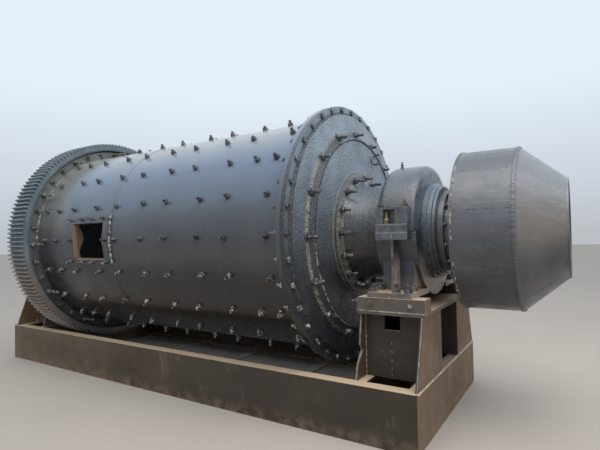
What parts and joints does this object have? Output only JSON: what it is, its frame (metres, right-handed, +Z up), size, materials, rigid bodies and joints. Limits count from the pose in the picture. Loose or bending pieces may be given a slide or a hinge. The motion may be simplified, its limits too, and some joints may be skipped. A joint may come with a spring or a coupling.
{
  "type": "ball mill",
  "caption": "Horizontal grinding drum with girth gear and drum feeder, turning in two trunnion bearings on a welded channel base.",
  "frame": {"origin": "centre of the underside of the base frame, on the ground", "axes": "+X along the mill axis towards the feed end, +Z up, the manhole on the -Y side at rest"},
  "size_m": [6.326, 2.5596, 2.792],
  "materials": {
    "base_paint": "satin black-brown paint under dust",
    "shell_paint": "gloss black",
    "cast_paint": "gloss black paint on rough casting",
    "gear_steel": "satin",
    "liner_steel": "rusty",
    "bush_metal": "machined",
    "feeder_paint": "satin black"
  },
  "bodies": {
    "base": {"sill_near": "base_paint", "sill_far": "base_paint", "end_sill_feed": "base_paint", "end_sill_discharge": "base_paint", "cross_member_feed": "base_paint", "cross_member_discharge": "base_paint", "low_ties": "base_paint", "pedestal_feed_near": "base_paint", "pedestal_feed_far": "base_paint", "pedestal_discharge_near": "base_paint", "pedestal_discharge_far": "base_paint", "bed_plate_feed": "base_paint", "bed_plate_discharge": "base_paint", "bed_rails_feed": "base_paint", "bed_rails_discharge": "base_paint", "bearing_block_feed": "cast_paint", "bearing_block_discharge": "cast_paint", "bearing_cap_feed": "cast_paint", "bearing_cap_discharge": "cast_paint", "bearing_bush_feed": "bush_metal", "bearing_bush_discharge": "bush_metal", "bearing_seals_feed": "cast_paint", "bearing_seals_discharge": "cast_paint"},
    "mill": {"shell_course_feed": "shell_paint", "shell_course_discharge": "shell_paint", "shell_flange_feed": "shell_paint", "shell_flange_discharge": "shell_paint", "shell_liner": "liner_steel", "manhole_frame": "shell_paint", "end_liner_feed": "liner_steel", "end_liner_discharge": "liner_steel", "end_cover_feed": "cast_paint", "end_cover_discharge": "cast_paint", "trunnion_feed": "cast_paint", "trunnion_discharge": "cast_paint", "girth_gear_upper": "gear_steel", "girth_gear_lower": "gear_steel", "feeder_neck": "feeder_paint", "feeder_back_plate": "feeder_paint", "feeder_drum": "feeder_paint", "feeder_cone": "feeder_paint", "feeder_mouth_lip": "feeder_paint", "feeder_vane": "feeder_paint", "discharge_spout": "cast_paint"}
  },
  "joints": [
    {"name": "mill_spin", "type": "hinge", "parent": "base", "child": "mill", "pos_m": [0, 0, 1.512], "axis": [1, 0, 0], "continuous": true}
  ]
}
